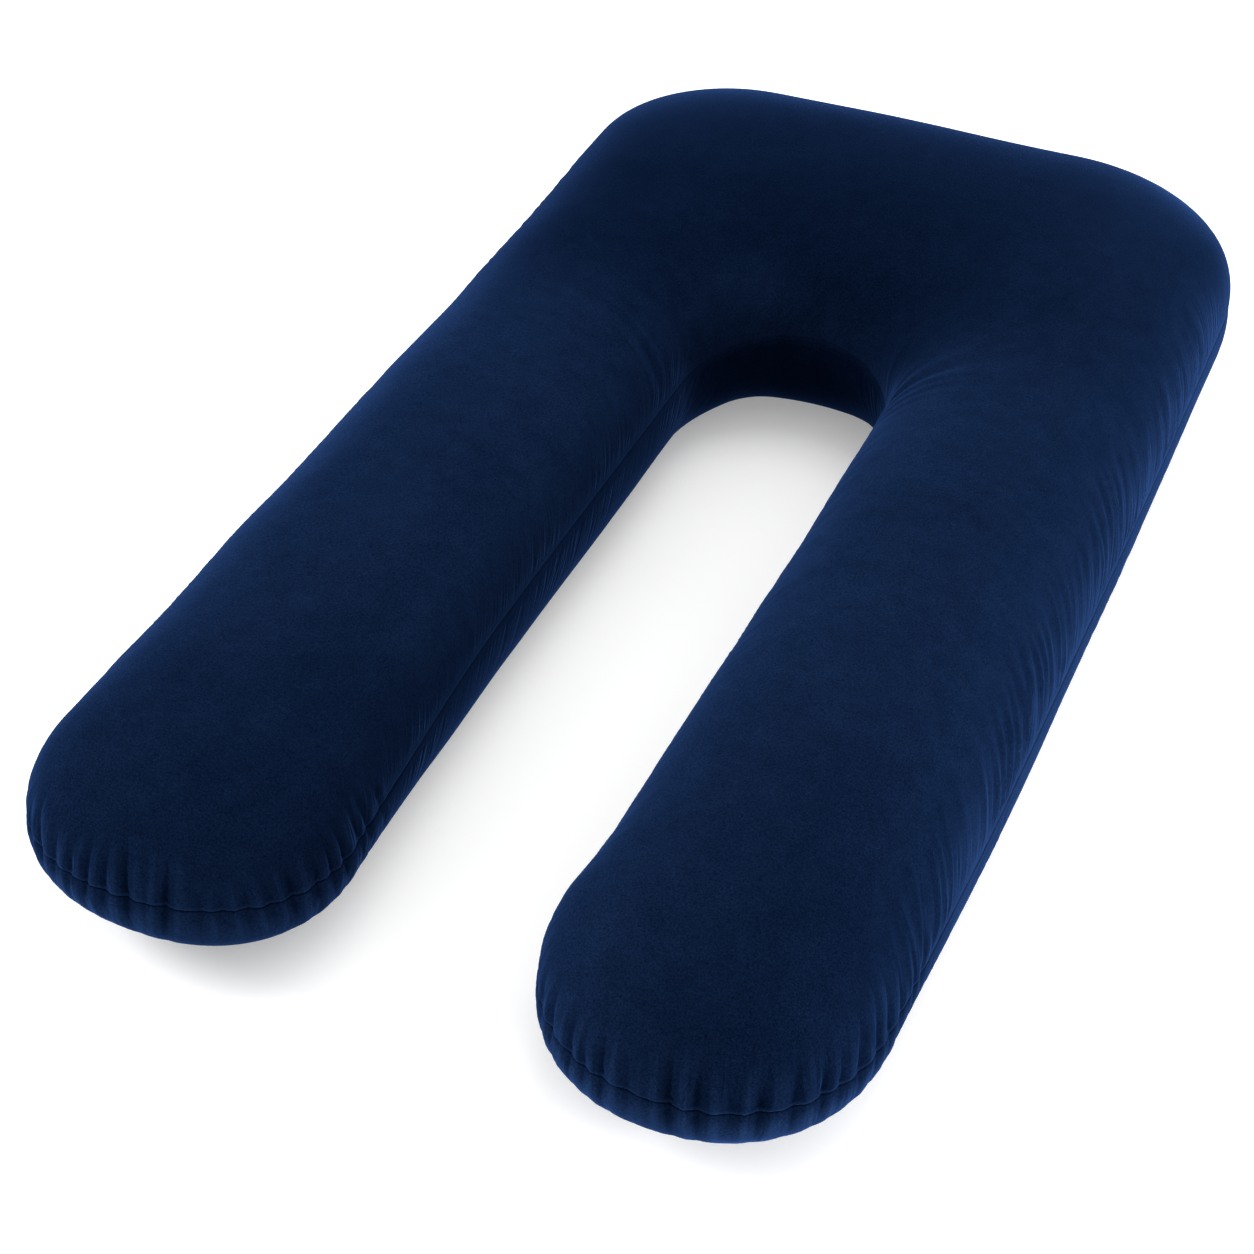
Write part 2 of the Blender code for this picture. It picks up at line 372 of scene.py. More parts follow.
CREASE_PROFILE = CreaseProfile()


@dataclass(frozen=True)
class Crease:
    """One crease of a gather, in millimetres.

    Along is its place on the seam from the middle of the leg's end toward the outer
    side, up and down are its reach on each side of the seam, lean is the sideways
    shift at its upper reach, spread is half its width, and start is how far from the
    seam it is full, where that is further than on the other creases.
    """

    along: float
    depth: float
    up: float
    down: float
    lean: float
    spread: float = 10.0
    start: float = 0.0

    def depth_at(self, along: float, above: float) -> float:
        """Depth of the crease at a place near the seam, all in millimetres.

        Args:
            along: Place on the seam from the middle of the leg's end.
            above: Distance over the skin above the seam, negative below it.

        Returns:
            The depth, below zero in the slight swell beside the crease.
        """
        distance = abs(above)
        share = distance / (self.up if above > 0 else self.down)
        if share >= 1:
            return 0.0
        middle = self.along + self.lean * above / self.up
        across = abs(along - middle) / self.spread
        if across >= CREASE_PROFILE.end:
            return 0.0
        if self.start > 0:
            held = eased(distance, 0.0, self.start)
        else:
            held = blend(CREASE_PROFILE.held, 1.0, eased(distance, 0.0, CREASE_PROFILE.held_reach))
        return self.depth * CREASE_PROFILE.section(across) * held * (1 - share) ** CREASE_PROFILE.fade_power


@dataclass(frozen=True)
class Gathers:
    """The creases that draw the cloth in across the seam of one half of the U."""

    creases: tuple[Crease, ...]

    def depth(self, along: float, above: float) -> float:
        """How far the creases draw the cloth in, with all lengths in metres."""
        return MM * sum(crease.depth_at(along / MM, above / MM) for crease in self.creases)


@dataclass(frozen=True)
class FoldBand:
    """A band of fine folds beside the seam: their size, and where along the seam they are.

    Full and none are the distances above or below the seam where the folds are full
    and where they end. First and last are the ends of the band along the seam from the
    middle of the leg's end, each with a fade. Seam, inner, below and left share are
    their strength at the seam itself, on the inner side, below the seam and on the
    left leg. Patches, some folds' widths across, are where the folds are stronger.
    """

    spacing: float
    height: float
    full: float
    none: float
    first: float
    last: float
    fade: float = 0.08
    seam_share: float = 1.0
    seam_span: tuple[float, float] = (0.002, 0.022)
    inner_share: float = 1.0
    below_share: float = 1.0
    left_share: float = 1.0
    patch_size: float = 6
    patch_mean: float = 0.65
    patch_swing: float = 0.9
    ridge_half: float = 0.4
    ridge_power: float = 1.5

    def strength(self, fold: float, above: float, x: float) -> float:
        """Strength of the folds at a place.

        Args:
            fold: Place across the folds, below zero on the inner side.
            above: Distance over the skin above the seam.
            x: Place across the pillow, which tells the legs apart.

        Returns:
            The strength, from 0 to 1.
        """
        distance = abs(fold)
        strength = 1 - eased(abs(above), self.full, self.none)
        strength *= blend(self.seam_share, 1.0, eased(abs(above), *self.seam_span))
        strength *= eased(distance, self.first - self.fade, self.first)
        strength *= 1 - eased(distance, self.last, self.last + self.fade)
        if fold < 0:
            strength *= blend(1.0, self.inner_share, eased(distance, 0.0, 2 * self.fade))
        if above < 0:
            strength *= self.below_share
        if x < 0:
            strength *= self.left_share
        return strength

    def rise(self, fold: float, above: float, x: float) -> float:
        """Height of the folds.

        Args:
            fold: Place across the folds, below zero on the inner side.
            above: Distance over the skin above the seam.
            x: Place across the pillow, so that the legs differ.

        Returns:
            The height over the smooth skin.
        """
        strength = self.strength(fold, above, x)
        if strength == 0:
            return 0.0
        across, up = fold / self.spacing, above / self.spacing
        wave = noise.noise(Vector((across, up / FOLD_LENGTH, NOISE_ACROSS * x)))
        patch = noise.noise(Vector((across / self.patch_size, up / self.patch_size, x)))
        patch = self.patch_mean + self.patch_swing * patch
        ridge = (1 - min(1.0, abs(wave) / self.ridge_half)) ** self.ridge_power
        return self.height * strength * patch * ridge


@dataclass(frozen=True)
class FineFolds:
    """Fine folds between the gathers, which lean along the seam on the straight of a leg."""

    lean: float = 0.55
    lean_start: float = 0.20
    lean_full: float = 0.34
    tips: FoldBand = FoldBand(
        spacing=0.010,
        height=0.0010,
        full=0.010,
        none=0.060,
        first=-0.1,
        last=0.25,
    )
    sides: FoldBand = FoldBand(
        spacing=0.017,
        height=0.0034,
        full=0.055,
        none=0.125,
        first=0.30,
        last=1.30,
        seam_share=0.10,
        inner_share=0.25,
        below_share=0.15,
        left_share=0.45,
    )

    def leaned(self, distance: float, above: float) -> float:
        """Where a place lies across the folds.

        Args:
            distance: Distance along the seam from the middle of the leg's end.
            above: Distance over the skin above the seam.

        Returns:
            The place across the folds, which is the same all along one fold.
        """
        share = (distance - self.lean_start) / (self.lean_full - self.lean_start)
        return distance - self.lean * min(1.0, max(0.0, share)) * above

    def rise(self, fold: float, above: float, x: float) -> float:
        """Height of all the folds at a place, as for one band."""
        return self.tips.rise(fold, above, x) + self.sides.rise(fold, above, x)


@dataclass(frozen=True)
class SeamLine:
    """The plain seam: a thin groove between two slight lips, in a shallow dip.

    It wavers up and down round a leg's end, and the waver calm is how much less it
    does so on the straight. On the slot's walls it has its inner share of its depth.
    """

    depth: float = 0.0011
    half_width: float = 0.0014
    lip: float = 0.0004
    lip_away: float = 0.0030
    dip: float = 0.0008
    dip_reach: float = 0.012
    waver: float = 0.0009
    waver_length: float = 0.026
    waver_reach: float = 0.022
    waver_end: float = 0.26
    waver_fade: float = 0.10
    waver_calm: float = 0.8
    waver_row: float = 7.3
    inner_share: float = 0.25

    def inset(self, fold: float, above: float) -> float:
        """How far the seam draws the cloth in at a place, less on the slot's walls.

        Args:
            fold: Place across the folds, below zero on the inner side.
            above: Distance over the skin above the seam.

        Returns:
            The depth, below zero on the seam's lips.
        """
        distance = abs(above)
        groove = self.depth * max(0.0, 1 - distance / self.half_width)
        dip = self.dip * max(0.0, 1 - distance / self.dip_reach) ** 2
        lip = self.lip * max(0.0, 1 - abs(distance - self.lip_away) / self.half_width)
        return (groove + dip - lip) * blend(1.0, self.inner_share, self.beyond_tip(-fold))

    def beyond_tip(self, distance: float) -> float:
        """Share of the way from a leg's gathered end onto its straight."""
        return eased(distance, self.waver_end, self.waver_end + self.waver_fade)

    def shift(self, fold: float, above: float, x: float) -> float:
        """How far up or down the seam wavers at a place.

        Args:
            fold: Place across the folds, below zero on the inner side.
            above: Distance over the skin above the seam.
            x: Place across the pillow, so that the legs differ.

        Returns:
            The distance upward.
        """
        fade = max(0.0, 1 - abs(above) / self.waver_reach)
        fade *= 1 - self.waver_calm * self.beyond_tip(abs(fold))
        where = Vector((fold / self.waver_length, self.waver_row, NOISE_ACROSS * x))
        return self.waver * fade * noise.noise(where)


LEFT_GATHERS = Gathers(
    (
        Crease(along=119, depth=3.0, up=45, down=45, lean=6),
        Crease(along=96, depth=4.5, up=60, down=52.5, lean=9),
        Crease(along=74, depth=4.0, up=55, down=60, lean=-4),
        Crease(along=54, depth=4.0, up=60, down=60, lean=-8),
        Crease(along=37, depth=4.5, up=60, down=60, lean=-8),
        Crease(along=19, depth=4.5, up=65, down=52.5, lean=-8),
        Crease(along=-3, depth=6.5, up=75, down=67.5, lean=0),
        Crease(along=-37, depth=6.5, up=65, down=75, lean=-6),
        Crease(along=-66, depth=3.0, up=45, down=60, lean=0),
        Crease(along=-85, depth=2.5, up=40, down=52.5, lean=4),
        Crease(along=-105, depth=3.5, up=45, down=60, lean=4),
        Crease(along=-125, depth=3.0, up=40, down=52.5, lean=6),
        Crease(along=-144, depth=5.0, up=50, down=67.5, lean=4),
        Crease(along=-169, depth=5.0, up=50, down=67.5, lean=2),
        Crease(along=-187, depth=4.0, up=60, down=60, lean=6),
        Crease(along=-205, depth=4.2, up=65, down=67.5, lean=8),
        Crease(along=-233, depth=3.2, up=60, down=67.5, lean=10),
        Crease(along=-249, depth=2.8, up=60, down=67.5, lean=12),
        Crease(along=-277, depth=2.4, up=50, down=60, lean=12),
        Crease(along=-922, depth=0.7, up=190, down=22.5, lean=-34, spread=9, start=60),
        Crease(along=-944, depth=2.4, up=210, down=22.5, lean=-40, spread=13, start=60),
        Crease(along=-966, depth=1.0, up=190, down=22.5, lean=-36, spread=9, start=50),
        Crease(along=-990, depth=0.6, up=170, down=22.5, lean=-30, spread=9, start=50),
        Crease(along=-1014, depth=0.5, up=150, down=22.5, lean=-24, spread=9, start=50),
    )
)
RIGHT_GATHERS = Gathers(
    (
        Crease(along=-134, depth=3.5, up=45, down=52.5, lean=-6),
        Crease(along=-110, depth=5.0, up=60, down=60, lean=-4),
        Crease(along=-80, depth=5.5, up=65, down=60, lean=-2),
        Crease(along=-63, depth=4.0, up=45, down=60, lean=0),
        Crease(along=-45, depth=5.5, up=60, down=67.5, lean=-3),
        Crease(along=-22, depth=3.5, up=50, down=60, lean=-3),
        Crease(along=13, depth=6.5, up=65, down=67.5, lean=-4),
        Crease(along=35, depth=5.5, up=60, down=67.5, lean=-2),
        Crease(along=60, depth=3.0, up=45, down=52.5, lean=0),
        Crease(along=82, depth=5.0, up=55, down=67.5, lean=3),
        Crease(along=110, depth=5.0, up=60, down=67.5, lean=4),
        Crease(along=136, depth=5.0, up=60, down=67.5, lean=5),
        Crease(along=153, depth=3.2, up=50, down=67.5, lean=5),
        Crease(along=176, depth=3.6, up=60, down=67.5, lean=8),
        Crease(along=201, depth=3.6, up=65, down=67.5, lean=12),
        Crease(along=225, depth=3.0, up=65, down=60, lean=14),
        Crease(along=250, depth=2.6, up=60, down=60, lean=16),
        Crease(along=282, depth=2.2, up=60, down=60, lean=16),
        Crease(along=302, depth=2.2, up=55, down=52.5, lean=18),
        Crease(along=-956, depth=1.0, up=190, down=22.5, lean=-40, spread=9, start=50),
        Crease(along=-973, depth=1.5, up=210, down=22.5, lean=-48, spread=9, start=45),
        Crease(along=-990, depth=1.9, up=220, down=22.5, lean=-56, spread=9, start=40),
        Crease(along=-1010, depth=3.2, up=240, down=22.5, lean=-64, spread=16, start=35),
        Crease(along=-1034, depth=1.2, up=170, down=22.5, lean=-44, spread=10, start=45),
    )
)


@dataclass(frozen=True)
class Filling:
    """The fibre filling, which swells the cover between its seam and the ground.

    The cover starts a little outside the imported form, because its shoulders draw in
    as it swells, and no part of it moves further than the cap.
    """

    pressure: float = 3.5
    frames: int = 20
    cap: float = 0.004
    least_move: float = 0.00004
    fill: float = 0.85
    cloth_mass: float = 0.3
    stretch_stiffness: float = 25.0
    shear_stiffness: float = 25.0 / 3
    bending_stiffness: float = 3.0
    quality: int = 5
    ground_contact: float = 0.0015
    start_outset: float = 0.0018
    evening_passes: int = 4

    def swell(self, cover: bpy.types.Object, held: Sequence[int]) -> None:
        """Run the cloth simulation on the cover, and keep its result in the mesh.

        Args:
            cover: The cover, at the origin.
            held: Vertices that stay where they are, along the seam and on the ground.
        """
        start = [vertex.co.copy() for vertex in cover.data.vertices]
        pins = cover.vertex_groups.new(name="held")
        pins.add(list(held), 1.0, "REPLACE")
        cloth = cover.modifiers.new("filling", "CLOTH")
        settings = cloth.settings
        settings.quality = self.quality
        settings.mass = self.cloth_mass
        settings.tension_stiffness = self.stretch_stiffness
        settings.compression_stiffness = self.stretch_stiffness
        settings.shear_stiffness = self.shear_stiffness
        settings.bending_stiffness = self.bending_stiffness
        settings.use_pressure = True
        settings.uniform_pressure_force = self.pressure
        settings.effector_weights.gravity = 0
        settings.vertex_group_mass = pins.name
        scene = bpy.context.scene
        for step in range(1, self.frames + 1):
            scene.frame_set(step)
        evaluated = cover.evaluated_get(bpy.context.evaluated_depsgraph_get())
        moves = [after.co - before for after, before in zip(evaluated.data.vertices, start)]
        cover.modifiers.remove(cloth)
        cover.vertex_groups.remove(pins)
        scene.frame_set(1)
        moves = self.evened([self.capped(move) for move in moves], cover.data, set(held))
        for vertex, before, move in zip(cover.data.vertices, start, moves):
            vertex.co = before + move
            vertex.co.z = max(0.0, vertex.co.z)

    def capped(self, move: Vector) -> Vector:
        """A move, shortened to the cap."""
        return move * min(1.0, self.cap / max(move.length, self.least_move))

    def evened(self, moves: list[Vector], mesh: bpy.types.Mesh, held: set[int]) -> list[Vector]:
        """Even out the moves of neighbouring vertices, as a thick pile cloth does.

        Args:
            moves: Move of each vertex.
            mesh: The cover's mesh.
            held: Vertices that don't move.

        Returns:
            The evened moves.
        """
        near: list[list[int]] = [[] for _ in moves]
        for edge in mesh.edges:
            first, second = edge.vertices
            near[first].append(second)
            near[second].append(first)
        for _ in range(self.evening_passes):
            around = [sum((moves[other] for other in others), Vector()) / len(others) for others in near]
            moves = [
                move if index in held else (move + mean) / 2
                for index, (move, mean) in enumerate(zip(moves, around))
            ]
        return moves


@dataclass(frozen=True)
class Cover:
    """The sewn cover: two panels and the seam between them, as one fine skin.

    Below the seam the gathers have their lower share of depth beyond the lower reach,
    so that the outline stays smooth.
    """

    form: PillowForm
    gathers: dict[Leg, Gathers]
    folds: FineFolds
    seam: SeamLine
    filling: Filling
    tip_columns: int = 120
    leg_step: float = 0.0036
    leg_step_growth: float = 1.12
    longest_leg_step: float = 0.0072
    gathered_length: float = 0.100
    head_sections: int = 50
    seam_rows: tuple[float, ...] = (0.7, 1.7)
    crown_rows: int = 14
    crown_row_growth: float = 1.10
    base_rows: int = 8
    base_row_growth: float = 1.15
    lump_height: float = 0.0016
    lump_size: float = 0.13
    lump_fade: float = 0.05
    lower_share: float = 0.45
    lower_reach: float = 0.012
    merge_distance: float = 0.00002

    def rows(self) -> list[float]:
        """Degrees of the skin's rows, from the crown through the seam to the base, close at the seam."""
        crown = self.panel_rows(-1, self.crown_rows, self.crown_row_growth)
        base = self.panel_rows(1, self.base_rows, self.base_row_growth)
        return crown[::-1] + [90.0] + base

    def panel_rows(self, sign: int, count: int, growth: float) -> list[float]:
        """Degrees of one panel's rows, from the seam outward.

        Args:
            sign: -1 for the upper panel and 1 for the lower one.
            count: Number of rows beyond those close to the seam.
            growth: Growth of the rows' spacing away from the seam.

        Returns:
            The degrees.
        """
        rows = [90 + sign * degrees for degrees in self.seam_rows]
        step = (90 - self.seam_rows[-1]) * (growth - 1) / (growth**count - 1)
        for row in range(count):
            rows.append(rows[-1] + sign * step * growth**row)
        rows[-1] = 90.0 + sign * 90
        return rows

    def leg_distances(self) -> list[float]:
        """Distances of the leg's sections from the round end's centre, close where it is gathered."""
        distances = []
        step = self.leg_step
        at = step
        while at < self.form.leg_length - step / 2:
            distances.append(at)
            if at > self.gathered_length:
                step = min(step * self.leg_step_growth, self.longest_leg_step)
            at += step
        return distances

    def half_sections(self, leg: Leg) -> list[tuple[dict[Side, Rib], dict[Side, float]]]:
        """Sections of one half, from the round end's centre to the middle of the head.

        Args:
            leg: The half of the U.

        Returns:
            The ribs of each section, and its place along the outer and the inner seam.
        """
        form = self.form
        _, seam_length = even_shares(lambda share: form.tip_edge(share, leg), self.tip_columns)
        seam_half = seam_length / 2
        sections = [(form.leg_ribs(1), dict.fromkeys(Side, seam_half))]
        for distance in self.leg_distances():
            along = seam_half + distance
            sections.append((form.leg_ribs(1 - distance / form.leg_length), dict.fromkeys(Side, along)))
        shares, outer_length = even_shares(lambda share: form.head_outline(share, leg), self.head_sections)
        _, inner_length = even_shares(form.gap_outline, self.head_sections)
        root = seam_half + form.leg_length
        for step, share in enumerate(shares):
            along = {
                Side.OUTER: root + outer_length * step / self.head_sections,
                Side.INNER: root + inner_length * share,
            }
            sections.append((form.head_ribs(share, leg), along))
        return sections

    def build(self) -> bpy.types.Object:
        """Model the cover, swell it with its filling and sew its seam.

        Returns:
            The finished cover, at the origin.
        """
        bm = bmesh.new()
        skin = Skin(bm, self)
        skin.grow()
        skin.lump()
        skin.settle()
        held = skin.held()
        mesh = bpy.data.meshes.new("pillow_cover")
        bm.to_mesh(mesh)
        bm.free()
        cover = bpy.data.objects.new("pillow_cover", mesh)
        bpy.context.scene.collection.objects.link(cover)
        self.filling.swell(cover, held)
        self.refine(cover)
        bm = bmesh.new()
        bm.from_mesh(cover.data)
        sewing = Sewing(bm, self)
        sewing.waver()
        sewing.draw_in()
        bm.to_mesh(cover.data)
        bm.free()
        cover.data.shade_smooth()
        return cover

    def refine(self, cover: bpy.types.Object) -> None:
        """Subdivide the cover once, and keep the result in its mesh."""
        smooth = cover.modifiers.new("smooth_cloth", "SUBSURF")
        smooth.levels = 1
        smooth.render_levels = 1
        coarse = cover.data
        depsgraph = bpy.context.evaluated_depsgraph_get()
        fine = bpy.data.meshes.new_from_object(
            cover.evaluated_get(depsgraph), preserve_all_data_layers=True, depsgraph=depsgraph
        )
        cover.modifiers.clear()
        cover.data = fine
        bpy.data.meshes.remove(coarse)
        fine.name = "pillow_cover"


class Skin:
    """The cover's mesh while it grows: each vertex knows its row and its place by the seam."""

    def __init__(self, bm: bmesh.types.BMesh, cover: Cover) -> None:
        """Make the layers that say where on the skin a vertex lies.

        Args:
            bm: The empty mesh to grow in.
            cover: The sizes of the cover.
        """
        self.bm = bm
        self.cover = cover
        self.form = cover.form
        self.rows = cover.rows()
        self.seam_row = self.rows.index(90.0)
        self.row = bm.verts.layers.int.new("row")
        self.side = bm.verts.layers.int.new("side")
        self.leg = bm.verts.layers.float.new("leg")
        self.along = bm.verts.layers.float.new("along")
        self.above = bm.verts.layers.float.new("above")
        self.fold = bm.verts.layers.float.new("fold")
        bm.verts.layers.float.new("gather")

    def measured(self, rib: Rib) -> tuple[list[Vector], list[float]]:
        """Points of a rib on the skin's rows, with each point's distance above the seam."""
        points = [rib.point(degrees, self.form) for degrees in self.rows]
        above = [0.0] * len(points)
        for row in range(self.seam_row - 1, -1, -1):
            above[row] = above[row + 1] + (points[row] - points[row + 1]).length
        for row in range(self.seam_row + 1, len(points)):
            above[row] = above[row - 1] - (points[row] - points[row - 1]).length
        return points, above

    def place(
        self,
        vert: bmesh.types.BMVert,
        rib: tuple[list[Vector], list[float]],
        row: int,
        side: Side,
        leg: Leg,
        along: float,
    ) -> None:
        """Put a vertex on its rib.

        Args:
            vert: The vertex.
            rib: Points and distances of the rib, as measured gives them.
            row: The vertex's row.
            side: Outer or inner edge.
            leg: The half of the U.
            along: Place along the seam from the middle of the leg's end.
        """
        points, above = rib
        vert.co = points[row]
        vert.co.x *= leg.value
        vert[self.row] = row
        vert[self.side] = side.value
        vert[self.leg] = leg.value
        vert[self.along] = along
        vert[self.above] = above[row]

    def spin_tip(self, leg: Leg) -> list[bmesh.types.BMEdge]:
        """Spin half a section round a leg's end.

        Args:
            leg: The leg.

        Returns:
            The open edges that the leg grows from.
        """
        bm, columns = self.bm, self.cover.tip_columns
        older = set(bm.verts)
        last = len(self.rows) - 1
        chain = [bm.verts.new((0 if row in (0, last) else 1, 0, -row)) for row in range(last + 1)]
        edges = [bm.edges.new(pair) for pair in zip(chain, chain[1:])]
        bmesh.ops.spin(bm, geom=chain + edges, cent=(0, 0, 0), axis=(0, 0, 1), angle=math.pi, steps=columns)
        shares, length = even_shares(lambda share: self.form.tip_edge(share, leg), columns)
        ribs = [self.measured(self.form.tip_rib(share, leg)) for share in shares]
        fresh = [vert for vert in bm.verts if vert not in older]
        for vert in fresh:
            column = round(abs(math.atan2(vert.co.y, vert.co.x)) / math.pi * columns)
            along = length * (0.5 - column / columns)
            side = Side.OUTER if along > 0 else Side.INNER
            self.place(vert, ribs[column], round(-vert.co.z), side, leg, along)
        bmesh.ops.remove_doubles(bm, verts=fresh, dist=self.cover.merge_distance)
        return [edge for edge in bm.edges if edge.is_boundary and edge.verts[0][self.leg] == leg.value]

    def extrude(
        self,
        edges: list[bmesh.types.BMEdge],
        ribs: dict[Side, Rib],
        leg: Leg,
        along: dict[Side, float],
    ) -> list[bmesh.types.BMEdge]:
        """Extrude the open ring of edges to the next section.

        Args:
            edges: The open ring.
            ribs: Both ribs of the next section, on the right half.
            leg: The half of the U.
            along: Place of the section along the outer and the inner seam.

        Returns:
            The new open ring.
        """
        measured = {side: self.measured(rib) for side, rib in ribs.items()}
        grown = bmesh.ops.extrude_edge_only(self.bm, edges=edges)["geom"]
        for vert in grown:
            if isinstance(vert, bmesh.types.BMVert):
                side = Side(vert[self.side])
                self.place(vert, measured[side], vert[self.row], side, leg, side.value * along[side])
        return [edge for edge in grown if isinstance(edge, bmesh.types.BMEdge) and edge.is_boundary]

    def grow(self) -> None:
        """Grow right tip, right leg, head end, left leg and left tip into one closed skin."""
        right = self.cover.half_sections(Leg.RIGHT)
        left = self.cover.half_sections(Leg.LEFT)
        edges = self.spin_tip(Leg.RIGHT)
        for leg, half in ((Leg.RIGHT, right[1:]), (Leg.LEFT, left[-2::-1])):
            for ribs, along in half:
                edges = self.extrude(edges, ribs, leg, along)
        self.spin_tip(Leg.LEFT)
        bmesh.ops.remove_doubles(self.bm, verts=self.bm.verts[:], dist=self.cover.merge_distance)
        bmesh.ops.recalc_face_normals(self.bm, faces=self.bm.faces[:])
        _, reach = right[-1]
        _, left_reach = left[-1]
        self.trace({side: reach[side] / left_reach[side] for side in Side})

    def trace(self, left_stretch: dict[Side, float]) -> None:
        """Keep on each vertex where it lies across the fine folds.

        Args:
            left_stretch: What the left half's lengths are stretched by, so that the halves meet.
        """
        for vert in self.bm.verts:
            side = Side(vert[self.side])
            stretch = left_stretch[side] if vert[self.leg] < 0 else 1.0
            distance = abs(vert[self.along]) * stretch
            vert[self.fold] = side.value * self.cover.folds.leaned(distance, vert[self.above])

    def lump(self) -> None:
        """Give the skin the slight lumps of its filling, and what its shoulders lose as it swells."""
        cover = self.cover
        self.bm.normal_update()
        moves = []
        for vert in self.bm.verts:
            rise = noise.noise(vert.co / cover.lump_size) * cover.lump_height
            away = min(1.0, abs(vert[self.above]) / cover.lump_fade)
            moves.append((vert, vert.normal * (rise + cover.filling.start_outset) * away))
        for vert, move in moves:
            vert.co += move
            vert.co.z = max(0.0, vert.co.z)

    def settle(self) -> None:
        """Lay the U as it lies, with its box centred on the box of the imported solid."""
        for vert in self.bm.verts:
            vert.co = self.form.settled(vert.co, Leg(round(vert[self.leg])))
        low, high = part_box(NODE)
        for axis in (0, 1):
            places = [vert.co[axis] for vert in self.bm.verts]
            shift = Vector((0, 0, 0))
            shift[axis] = (low[axis] + high[axis] - min(places) - max(places)) / 2
            bmesh.ops.translate(self.bm, verts=self.bm.verts[:], vec=shift)

    def held(self) -> list[int]:
        """Vertices that the filling doesn't move: the seam with its lips, and what is on the ground."""
        self.bm.verts.index_update()
        seam = range(self.seam_row - 1, self.seam_row + 2)
        ground = self.cover.filling.ground_contact
        return [vert.index for vert in self.bm.verts if vert[self.row] in seam or vert.co.z < ground]


class Sewing:
    """The seam, gathers and folds that are drawn into the filled cover's fine mesh."""

    def __init__(self, bm: bmesh.types.BMesh, cover: Cover) -> None:
        """Find the layers that say where on the skin a vertex lies.

        Args:
            bm: The filled cover's fine mesh.
            cover: The sizes of the cover.
        """
        self.bm = bm
        self.cover = cover
        layers = bm.verts.layers.float
        self.leg = layers["leg"]
        self.along = layers["along"]
        self.above = layers["above"]
        self.fold = layers["fold"]
        self.gather = layers["gather"]

    def waver(self) -> None:
        """Let the seam waver a little up and down."""
        seam = self.cover.seam
        for vert in self.bm.verts:
            vert.co.z = max(0.0, vert.co.z + seam.shift(vert[self.fold], vert[self.above], vert.co.x))

    def draw_in(self) -> None:
        """Draw seam, gathers and folds into the skin, square to it."""
        cover = self.cover
        self.bm.normal_update()
        moves = []
        for vert in self.bm.verts:
            along, above = vert[self.along], vert[self.above]
            gathers = cover.gathers[Leg.RIGHT if vert[self.leg] > 0 else Leg.LEFT]
            depth = gathers.depth(along, above)
            # The gathers' full depth is kept for their painted shade; below the seam the mesh then takes
            # only its lower share.
            vert[self.gather] = depth / MM
            depth *= blend(1.0, cover.lower_share, eased(-above, 0.0, cover.lower_reach))
            fold = vert[self.fold]
            depth += cover.seam.inset(fold, above) - cover.folds.rise(fold, above, vert.co.x)
            moves.append((vert, vert.normal * depth))
        for vert, move in moves:
            vert.co -= move
            vert.co.z = max(0.0, vert.co.z)


